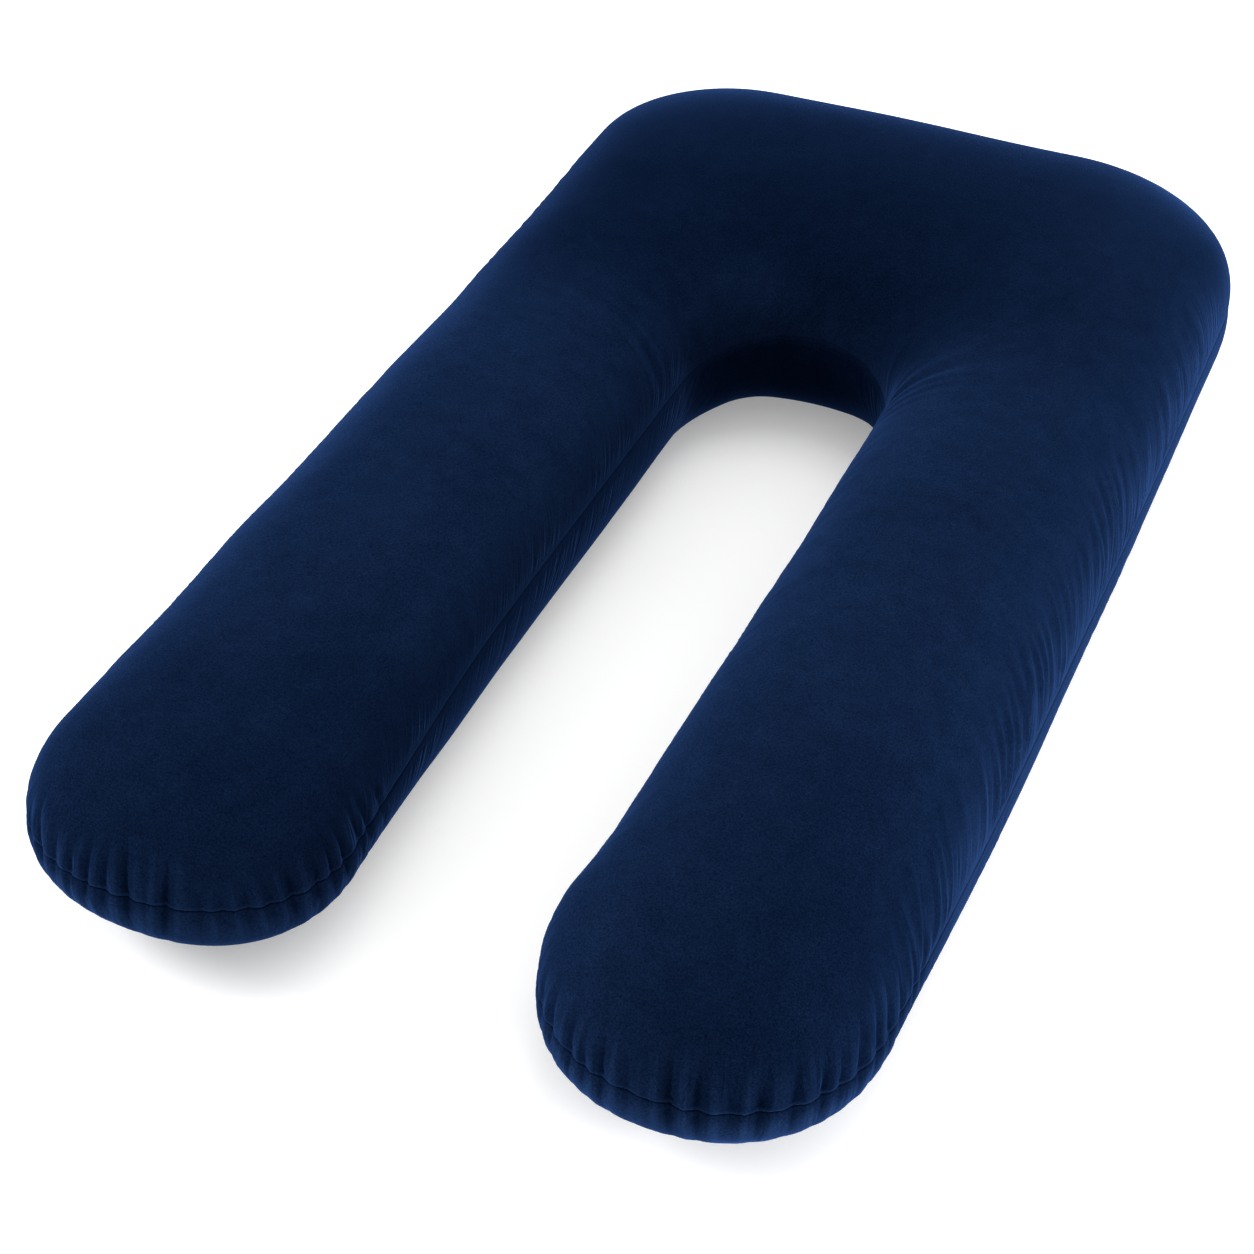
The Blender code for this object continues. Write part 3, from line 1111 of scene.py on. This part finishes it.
class Wires:
    """Short forms for the nodes that the finishes use."""

    def __init__(self, tree: bpy.types.NodeTree) -> None:
        """Keep the tree to build in."""
        self.tree = tree

    def node(self, kind: str) -> bpy.types.Node:
        """Add a node of a kind."""
        return self.tree.nodes.new(kind)

    def link(self, value: object, socket: Socket) -> None:
        """Link a socket, or set a constant, on an input.

        Args:
            value: An output socket, a number or a colour.
            socket: The input.
        """
        if isinstance(value, Socket):
            self.tree.links.new(value, socket)
        elif isinstance(value, tuple) and len(value) == 3 and socket.type == "RGBA":
            socket.default_value = (*value, 1.0)
        else:
            socket.default_value = value

    def attribute(self, name: str) -> Socket:
        """Number kept on the piece's vertices."""
        node = self.node("ShaderNodeAttribute")
        node.attribute_name = name
        return node.outputs["Fac"]

    def maths(self, operation: str, first: object, second: object = 0.0) -> Socket:
        """One sum.

        Args:
            operation: Name of the operation.
            first: First value.
            second: Second value.

        Returns:
            The result.
        """
        node = self.node("ShaderNodeMath")
        node.operation = operation
        self.link(first, node.inputs[0])
        self.link(second, node.inputs[1])
        return node.outputs[0]

    def product(self, first: object, *others: object) -> Socket:
        """Product of several values."""
        for other in others:
            first = self.maths("MULTIPLY", first, other)
        return first

    def total(self, first: object, *others: object) -> Socket:
        """Sum of several values."""
        for other in others:
            first = self.maths("ADD", first, other)
        return first

    def centred(self, share: object) -> Socket:
        """A share from 0 to 1, moved to lie about 0."""
        return self.maths("SUBTRACT", share, 0.5)

    def span(self, value: object, low: float, high: float) -> Socket:
        """Share of the way from low to high, kept between 0 and 1."""
        node = self.node("ShaderNodeMapRange")
        self.link(value, node.inputs["Value"])
        self.link(low, node.inputs["From Min"])
        self.link(high, node.inputs["From Max"])
        return node.outputs["Result"]

    def ease(self, value: object, low: float, high: float) -> Socket:
        """Share of the way from low to high, with a soft start and end."""
        share = self.span(value, low, high)
        share.node.interpolation_type = "SMOOTHSTEP"
        return share

    def axes(self, place: Socket) -> list[Socket]:
        """X, Y and Z of a place."""
        node = self.node("ShaderNodeSeparateXYZ")
        self.link(place, node.inputs[0])
        return list(node.outputs)

    def away(self, place: Socket, centre: tuple[float, float, float]) -> Socket:
        """Distance of a place from a centre."""
        node = self.node("ShaderNodeVectorMath")
        node.operation = "DISTANCE"
        self.link(place, node.inputs[0])
        node.inputs[1].default_value = centre
        return node.outputs["Value"]

    def vector(self, x: object, y: object, z: object) -> Socket:
        """Vector of three values."""
        node = self.node("ShaderNodeCombineXYZ")
        for value, socket in zip((x, y, z), node.inputs):
            self.link(value, socket)
        return node.outputs[0]

    def noise(self, place: Socket, size: float = 1.0, detail: float = 1.0, roughness: float = 0.5) -> Socket:
        """Soft noise.

        Args:
            place: Where the noise is read.
            size: Size of its patches.
            detail: Octaves of finer patches.
            roughness: Strength of the finer patches.

        Returns:
            The noise, from 0 to 1.
        """
        node = self.node("ShaderNodeTexNoise")
        self.link(place, node.inputs["Vector"])
        node.inputs["Scale"].default_value = 1 / size
        node.inputs["Detail"].default_value = detail
        node.inputs["Roughness"].default_value = roughness
        return node.outputs["Fac"]

    def mix(self, share: object, first: object, second: object) -> Socket:
        """Mix of two colours.

        Args:
            share: Share of the second colour.
            first: First colour.
            second: Second colour.

        Returns:
            The colour.
        """
        node = self.node("ShaderNodeMix")
        node.data_type = "RGBA"
        self.link(share, node.inputs["Factor"])
        self.link(first, node.inputs[6])
        self.link(second, node.inputs[7])
        return node.outputs[2]

    def bump(self, height: object, distance: float, normal: object) -> Socket:
        """Bumped normal.

        Args:
            height: Height from 0 to 1.
            distance: Height in metres at 1.
            normal: The normal to start from, or None.

        Returns:
            The new normal.
        """
        node = self.node("ShaderNodeBump")
        node.inputs["Distance"].default_value = distance
        self.link(height, node.inputs["Height"])
        if normal is not None:
            self.link(normal, node.inputs["Normal"])
        return node.outputs["Normal"]


@dataclass(frozen=True)
class Spot:
    """Where a shaded point of the skin lies, as sockets.

    Place is in object coordinates. Fold is its place across the folds, below zero on
    the inner side, and above is how far it lies above the seam.
    """

    place: Socket
    fold: Socket
    above: Socket
    distance: Socket


@dataclass(frozen=True)
class PaintedLight:
    """Painted light and shade, as a change in the pile's lightness.

    Painted light makes it lighter on the legs, beside the seam on their outer sides, under
    the seam at their ends and at one shoulder of the slot's arc. Painted shade makes it
    darker on the head end, on the slot's walls and toward +X across each leg. Each pair is
    the place where a change starts and where it is full, in metres.
    """

    # Painted light on the legs' tops and painted shade on the head end.
    top_span: tuple[float, float] = (0.11, 0.19)
    leg_painted_light: float = 0.23
    leg_span: tuple[float, float] = (-0.62, -0.32)
    head_painted_shade: float = 0.65
    head_span: tuple[float, float] = (0.03, 0.28)
    head_slant: float = 0.9
    head_slant_span: tuple[float, float] = (0.09, 0.20)
    head_slant_end: tuple[float, float] = (0.18, 0.31)
    head_side_painted_light: float = 0.25
    head_side_span: tuple[float, float] = (0.02, 0.30)
    # Painted shade on the wall at the slot's arc.
    arc_centre: tuple[float, float, float] = (0.0, 0.26, 0.08)
    arc_painted_shade: float = 0.55
    arc_span: tuple[float, float] = (0.17, 0.09)
    arc_below: tuple[float, float] = (0.006, -0.010)
    # Painted light at the left shoulder of the slot's arc.
    shoulder_centre: tuple[float, float, float] = (-0.07, 0.25, 0.20)
    shoulder_painted_light: float = 0.28
    shoulder_span: tuple[float, float] = (0.095, 0.025)
    # Painted shade on the slot's walls along the legs.
    wall_painted_shade: float = 0.56
    inner_span: tuple[float, float] = (-0.20, -0.36)
    inner_below: tuple[float, float] = (0.045, -0.090)
    inner_end: tuple[float, float] = (0.20, 0.10)
    # Painted light and shade across each leg, darker toward +X.
    leg_middle: float = 0.257
    leg_slope: float = 0.42
    leg_slope_more_right: float = 0.19
    leg_slope_half: float = 0.125
    leg_slope_end: tuple[float, float] = (0.22, 0.04)
    # Painted light beside the seam on the outer sides.
    outer_painted_light: float = 0.54
    outer_span: tuple[float, float] = (0.25, 0.45)
    outer_reach: tuple[float, float] = (0.080, 0.010)
    # Painted sheen under the seam at the leg ends.
    rim_painted_sheen: float = 0.95
    rim_more_right: float = 0.35
    rim_below: tuple[float, float] = (0.004, -0.030)
    rim_end: tuple[float, float] = (0.34, 0.20)

    def lightness(self, wires: Wires, spot: Spot) -> Socket:
        """Lightness of the pile with its painted light and shade, about 1.

        Args:
            wires: The material's node tree.
            spot: Where the point lies.

        Returns:
            The lightness.
        """
        x, y, z = wires.axes(spot.place)
        sign = wires.maths("SIGN", x)
        change = wires.product(self.top(wires, x, y), wires.ease(z, *self.top_span))
        change = wires.maths("SUBTRACT", change, self.arc(wires, spot))
        change = wires.total(change, self.shoulder(wires, spot))
        change = wires.maths("SUBTRACT", change, self.wall(wires, spot, y))
        slope = self.slope(wires, x, y, sign)
        return wires.total(change, slope, self.outer(wires, spot), self.rim(wires, spot, sign), 1.0)

    def top(self, wires: Wires, x: Socket, y: Socket) -> Socket:
        """Painted light and shade along the top: lighter on the legs and darker on the head end.

        Args:
            wires: The material's node tree.
            x: Place across the pillow.
            y: Place along the pillow.

        Returns:
            The change.
        """
        leg = wires.product(wires.ease(y, *self.leg_span), self.leg_painted_light)
        slant_start, slant_end = self.head_slant_span
        beyond = wires.span(x, slant_start, slant_end)
        beyond = wires.maths("SUBTRACT", beyond, wires.span(x, *self.head_slant_end))
        shift = wires.product(beyond, self.head_slant * (slant_end - slant_start))
        depth = wires.maths("SUBTRACT", y, shift)
        head = wires.product(wires.ease(depth, *self.head_span), self.head_painted_shade)
        side = wires.product(wires.ease(x, *self.head_side_span), self.head_side_painted_light)
        side = wires.product(side, wires.ease(y, *self.head_span))
        return wires.total(wires.maths("SUBTRACT", leg, head), side)

    def arc(self, wires: Wires, spot: Spot) -> Socket:
        """Painted shade on the wall at the slot's arc, where little light reaches."""
        near = wires.ease(wires.away(spot.place, self.arc_centre), *self.arc_span)
        return wires.product(near, wires.ease(spot.above, *self.arc_below), self.arc_painted_shade)

    def shoulder(self, wires: Wires, spot: Spot) -> Socket:
        """Painted light at the left shoulder of the slot's arc."""
        near = wires.ease(wires.away(spot.place, self.shoulder_centre), *self.shoulder_span)
        return wires.product(near, self.shoulder_painted_light)

    def wall(self, wires: Wires, spot: Spot, y: Socket) -> Socket:
        """Painted shade on the slot's walls along the legs."""
        inner, end = wires.ease(spot.fold, *self.inner_span), wires.ease(y, *self.inner_end)
        return wires.product(inner, wires.ease(spot.above, *self.inner_below), end, self.wall_painted_shade)

    def slope(self, wires: Wires, x: Socket, y: Socket, sign: Socket) -> Socket:
        """Painted light and shade across a leg, darker toward +X.

        Args:
            wires: The material's node tree.
            x: Place across the pillow.
            y: Place along the pillow.
            sign: Sign of x, which tells the legs apart.

        Returns:
            The change.
        """
        off_middle = wires.maths("SUBTRACT", x, wires.product(sign, self.leg_middle))
        slope = wires.centred(wires.ease(off_middle, self.leg_slope_half, -self.leg_slope_half))
        strength = wires.total(wires.product(sign, self.leg_slope_more_right), self.leg_slope)
        return wires.product(slope, wires.ease(y, *self.leg_slope_end), strength)

    def outer(self, wires: Wires, spot: Spot) -> Socket:
        """Painted light beside the seam on the outer sides."""
        near = wires.ease(spot.distance, *self.outer_reach)
        return wires.product(wires.ease(spot.fold, *self.outer_span), near, self.outer_painted_light)

    def rim(self, wires: Wires, spot: Spot, sign: Socket) -> Socket:
        """Painted sheen under the seam at the leg ends.

        Args:
            wires: The material's node tree.
            spot: Where the point lies.
            sign: Sign of x, which tells the legs apart.

        Returns:
            The lightness to add.
        """
        near = wires.ease(wires.maths("ABSOLUTE", spot.fold), *self.rim_end)
        strength = wires.total(wires.product(sign, self.rim_more_right), self.rim_painted_sheen)
        return wires.product(near, wires.ease(spot.above, *self.rim_below), strength)


@dataclass(frozen=True)
class Velvet:
    """Deep navy velvet: a dense short pile that lightens where it is seen from the side."""

    # Painted light and shade of the pile.
    painted_light: PaintedLight = PaintedLight()
    deep: tuple[float, float, float] = (0.0007, 0.0026, 0.0095)
    light: tuple[float, float, float] = (0.0078, 0.0208, 0.0636)
    deep_lightness: float = 0.4
    light_lightness: float = 2.6
    roughness: float = 1.0
    specular: float = 0.0
    sheen: float = 0.21
    sheen_roughness: float = 0.30
    sheen_tint: tuple[float, float, float] = (0.116, 0.3125, 1.0)
    cloud_size: float = 0.090
    cloud_strength: float = 0.55
    cloud_detail: float = 3.0
    brushing_size: float = 0.022
    brushing_strength: float = 0.50
    grain_size: float = 0.0017
    grain_strength: float = 2.0
    grain_detail: float = 2.0
    noise_roughness: float = 0.6
    pile_size: float = 0.0016
    pile_height: float = 0.0004
    fold_spacing: float = 0.010
    fold_ridge_half: float = 0.22
    fold_start: tuple[float, float] = (0.002, 0.015)
    fold_reach: float = 0.100
    fold_fade_power: float = 1.4
    fold_height: float = 0.0012
    fold_inner_share: float = 0.70
    fold_inner_span: tuple[float, float] = (-0.20, -0.36)
    patch_size: float = 0.11
    patch_span: tuple[float, float] = (0.36, 0.58)
    patch_least: float = 0.3
    patch_swing: float = 0.7
    # Painted shade in the creases and painted highlight on their crests.
    crease_depth: tuple[float, float] = (0.9, 3.8)
    crease_painted_shade: float = 0.46
    crest_height: tuple[float, float] = (-0.05, -0.9)
    crest_painted_highlight: float = 0.50
    # Painted shade along the seam's groove, mostly hidden on the slot's walls.
    seam_span: tuple[float, float] = (0.0010, 0.0010 / 3)
    seam_painted_shade: float = 0.65
    seam_hidden: float = 0.80
    seam_hidden_span: tuple[float, float] = (-0.25, -0.40)
    seam_shade_colour: tuple[float, float, float] = (0.0002, 0.0005, 0.0018)
    # Painted highlight on the seam's lips.
    lip_away: float = 0.0028
    lip_half_width: float = 0.0016
    lip_painted_highlight: float = 0.45
    outer_lip_span: tuple[float, float] = (0.25, 0.45)

    def material(self) -> bpy.types.Material:
        """Build the material.

        Returns:
            The velvet.
        """
        material = bpy.data.materials.new("navy_velvet")
        material.use_nodes = True
        wires = Wires(material.node_tree)
        shader = material.node_tree.nodes["Principled BSDF"]
        shader.inputs["Roughness"].default_value = self.roughness
        shader.inputs["Specular IOR Level"].default_value = self.specular
        shader.inputs["Sheen Weight"].default_value = self.sheen
        shader.inputs["Sheen Roughness"].default_value = self.sheen_roughness
        shader.inputs["Sheen Tint"].default_value = (*self.sheen_tint, 1.0)
        above = wires.attribute("above")
        spot = Spot(
            place=wires.node("ShaderNodeTexCoord").outputs["Object"],
            fold=wires.attribute("fold"),
            above=above,
            distance=wires.maths("ABSOLUTE", above),
        )
        wires.link(self.colour(wires, spot), shader.inputs["Base Color"])
        wires.link(self.relief(wires, spot), shader.inputs["Normal"])
        return material

    def lip(self, wires: Wires, above: Socket, away: float) -> Socket:
        """Share of a point in the seam's lip that lies a distance above it."""
        off_lip = wires.maths("ABSOLUTE", wires.maths("SUBTRACT", above, away))
        return wires.span(off_lip, self.lip_half_width, 0.0)

    def colour(self, wires: Wires, spot: Spot) -> Socket:
        """Pile colour: painted light and shade, brushed clouds and fine grain, with painted shade
        in seam and creases and painted highlights on crests and on the seam's lips.

        Args:
            wires: The material's node tree.
            spot: Where the point lies.

        Returns:
            The colour.
        """
        # Painted shade in the creases and painted highlight on their crests, from the gathers' depth.
        gather = wires.attribute("gather")
        valley = wires.product(wires.span(gather, *self.crease_depth), self.crease_painted_shade)
        painted_crest_highlight = wires.product(wires.span(gather, *self.crest_height), self.crest_painted_highlight)
        shade = wires.total(wires.maths("SUBTRACT", 1.0, valley), painted_crest_highlight)
        lightness = wires.product(self.painted_light.lightness(wires, spot), shade)
        for size, strength, detail in (
            (self.cloud_size, self.cloud_strength, self.cloud_detail),
            (self.brushing_size, self.brushing_strength, self.cloud_detail),
            (self.grain_size, self.grain_strength, self.grain_detail),
        ):
            change = wires.centred(wires.noise(spot.place, size, detail, self.noise_roughness))
            lightness = wires.product(lightness, wires.total(wires.product(change, strength), 1.0))
        hidden = wires.product(wires.ease(spot.fold, *self.seam_hidden_span), self.seam_hidden)
        shown = wires.maths("SUBTRACT", 1.0, hidden)
        # Painted highlight on the seam's lips, and below the seam on the outer sides.
        outer = wires.ease(spot.fold, *self.outer_lip_span)
        lip = wires.product(self.lip(wires, spot.above, self.lip_away), shown, self.lip_painted_highlight)
        lower_lip = wires.product(self.lip(wires, spot.above, -self.lip_away), outer, self.lip_painted_highlight)
        painted_lip_highlights = wires.total(wires.product(lip, wires.total(outer, 1.0)), lower_lip)
        lightness = wires.total(lightness, painted_lip_highlights)
        share = wires.span(lightness, self.deep_lightness, self.light_lightness)
        pile = wires.mix(share, self.deep, self.light)
        # Painted shade: a near-black line along the seam's groove.
        seam = wires.product(wires.span(spot.distance, *self.seam_span), shown, self.seam_painted_shade)
        return wires.mix(seam, pile, self.seam_shade_colour)

    def relief(self, wires: Wires, spot: Spot) -> Socket:
        """Fine relief: thin folds that run from the seam, and the pile itself.

        Args:
            wires: The material's node tree.
            spot: Where the point lies.

        Returns:
            The bumped normal.
        """
        across = wires.maths("DIVIDE", spot.fold, self.fold_spacing)
        up = wires.maths("DIVIDE", spot.above, self.fold_spacing * FOLD_LENGTH)
        wander = wires.product(wires.axes(spot.place)[0], NOISE_ACROSS)
        folds = wires.noise(wires.vector(across, up, wander))
        off_ridge = wires.maths("ABSOLUTE", wires.centred(folds))
        ridge = wires.span(off_ridge, self.fold_ridge_half, 0.0)
        fade = wires.maths("POWER", wires.span(spot.distance, self.fold_reach, 0.0), self.fold_fade_power)
        fade = wires.product(fade, wires.ease(spot.distance, *self.fold_start))
        patches = wires.span(wires.noise(spot.place, self.patch_size), *self.patch_span)
        patches = wires.total(wires.product(patches, self.patch_swing), self.patch_least)
        inner = wires.product(wires.ease(spot.fold, *self.fold_inner_span), 1 - self.fold_inner_share)
        strength = wires.product(fade, patches, wires.maths("SUBTRACT", 1.0, inner))
        folded = wires.bump(wires.product(ridge, strength), self.fold_height, None)
        pile = wires.noise(spot.place, self.pile_size, self.grain_detail, self.noise_roughness)
        return wires.bump(pile, self.pile_height, folded)


@dataclass(frozen=True)
class SoftLight:
    """One large soft lamp that faces a point."""

    name: str
    place: tuple[float, float, float]
    size: float
    power: float
    aim: tuple[float, float, float] = (0.0, -0.1, 0.1)

    def build(self) -> None:
        """Make the lamp."""
        data = bpy.data.lights.new(self.name, "AREA")
        data.shape = "DISK"
        data.size = self.size
        data.energy = self.power
        lamp = bpy.data.objects.new(self.name, data)
        lamp.location = self.place
        toward = Vector(self.aim) - Vector(self.place)
        lamp.rotation_euler = toward.to_track_quat("-Z", "Y").to_euler()
        bpy.context.scene.collection.objects.link(lamp)


@dataclass(frozen=True)
class Studio:
    """Plain pale floor, soft light and the camera of the photograph."""

    floor_half: float = 12.0
    floor_colour: tuple[float, float, float] = (0.90, 0.90, 0.90)
    floor_glow: float = 0.28
    floor_roughness: float = 0.9
    floor_specular: float = 0.1
    surround: float = 1.0
    camera_target: tuple[float, float, float] = (-0.0070, -0.2272, 0.1)
    camera_azimuth: float = 21.506
    camera_elevation: float = 38.649
    camera_roll: float = 2.531
    camera_distance: float = 2.447
    focal_share: float = 2.5164 / 1.254
    sensor: float = 36.0
    lamps: tuple[SoftLight, ...] = (
        SoftLight("top_lamp", (0.1, 0.5, 2.4), 1.6, 12.0),
        SoftLight("left_lamp", (-2.2, -0.95, 1.0), 1.0, 46.0),
        SoftLight("right_lamp", (2.2, -0.45, 0.36), 0.7, 57.0),
        SoftLight("back_lamp", (0.5, 2.4, 0.9), 1.0, 22.0),
    )

    def build(self) -> None:
        """Make floor, surround, lamps and camera."""
        self.floor()
        self.world()
        for lamp in self.lamps:
            lamp.build()
        self.camera()
        bpy.context.scene.view_settings.view_transform = "Standard"

    def floor(self) -> None:
        """Pale matt floor under the pillow, lit a little from below so that shadows stay light."""
        bm = bmesh.new()
        bmesh.ops.create_grid(bm, x_segments=1, y_segments=1, size=self.floor_half)
        mesh = bpy.data.meshes.new("floor")
        bm.to_mesh(mesh)
        bm.free()
        material = bpy.data.materials.new("pale_floor")
        material.use_nodes = True
        shader = material.node_tree.nodes["Principled BSDF"]
        shader.inputs["Base Color"].default_value = (*self.floor_colour, 1.0)
        shader.inputs["Roughness"].default_value = self.floor_roughness
        shader.inputs["Specular IOR Level"].default_value = self.floor_specular
        shader.inputs["Emission Color"].default_value = (1.0, 1.0, 1.0, 1.0)
        shader.inputs["Emission Strength"].default_value = self.floor_glow
        mesh.materials.append(material)
        floor = bpy.data.objects.new("floor", mesh)
        bpy.context.scene.collection.objects.link(floor)

    def world(self) -> None:
        """Even white surround."""
        world = bpy.data.worlds.new("surround")
        world.use_nodes = True
        background = world.node_tree.nodes["Background"]
        background.inputs["Color"].default_value = (1.0, 1.0, 1.0, 1.0)
        background.inputs["Strength"].default_value = self.surround
        bpy.context.scene.world = world

    def camera(self) -> None:
        """Camera at the photograph's angle."""
        azimuth = math.radians(self.camera_azimuth)
        elevation = math.radians(self.camera_elevation)
        roll = math.radians(self.camera_roll)
        level = math.cos(elevation)
        back = Vector((math.sin(azimuth) * level, -math.cos(azimuth) * level, math.sin(elevation)))
        right = Vector((0, 0, 1)).cross(back).normalized()
        up = back.cross(right)
        turned_right = right * math.cos(roll) + up * math.sin(roll)
        turned_up = up * math.cos(roll) - right * math.sin(roll)
        turn = Matrix((turned_right, turned_up, back)).transposed()
        data = bpy.data.cameras.new("camera")
        data.sensor_width = self.sensor
        data.lens = self.sensor * self.focal_share
        camera = bpy.data.objects.new("camera", data)
        place = Vector(self.camera_target) + back * self.camera_distance
        camera.matrix_world = Matrix.Translation(place) @ turn.to_4x4()
        bpy.context.scene.collection.objects.link(camera)
        bpy.context.scene.camera = camera


def main() -> None:
    """Build the pillow's cover, its finish and the studio."""
    logging.basicConfig(level=logging.INFO, format="%(name)s: %(message)s")
    gathers = {Leg.RIGHT: RIGHT_GATHERS, Leg.LEFT: LEFT_GATHERS}
    cover = Cover(form=PillowForm(), gathers=gathers, folds=FineFolds(), seam=SeamLine(), filling=Filling())
    pillow = cover.build()
    pillow.data.materials.append(Velvet().material())
    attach(pillow, BODY)
    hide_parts(NODE)
    LOG.info("%s: %d faces", pillow.name, len(pillow.data.polygons))
    Studio().build()


if __name__ == "__main__":
    main()
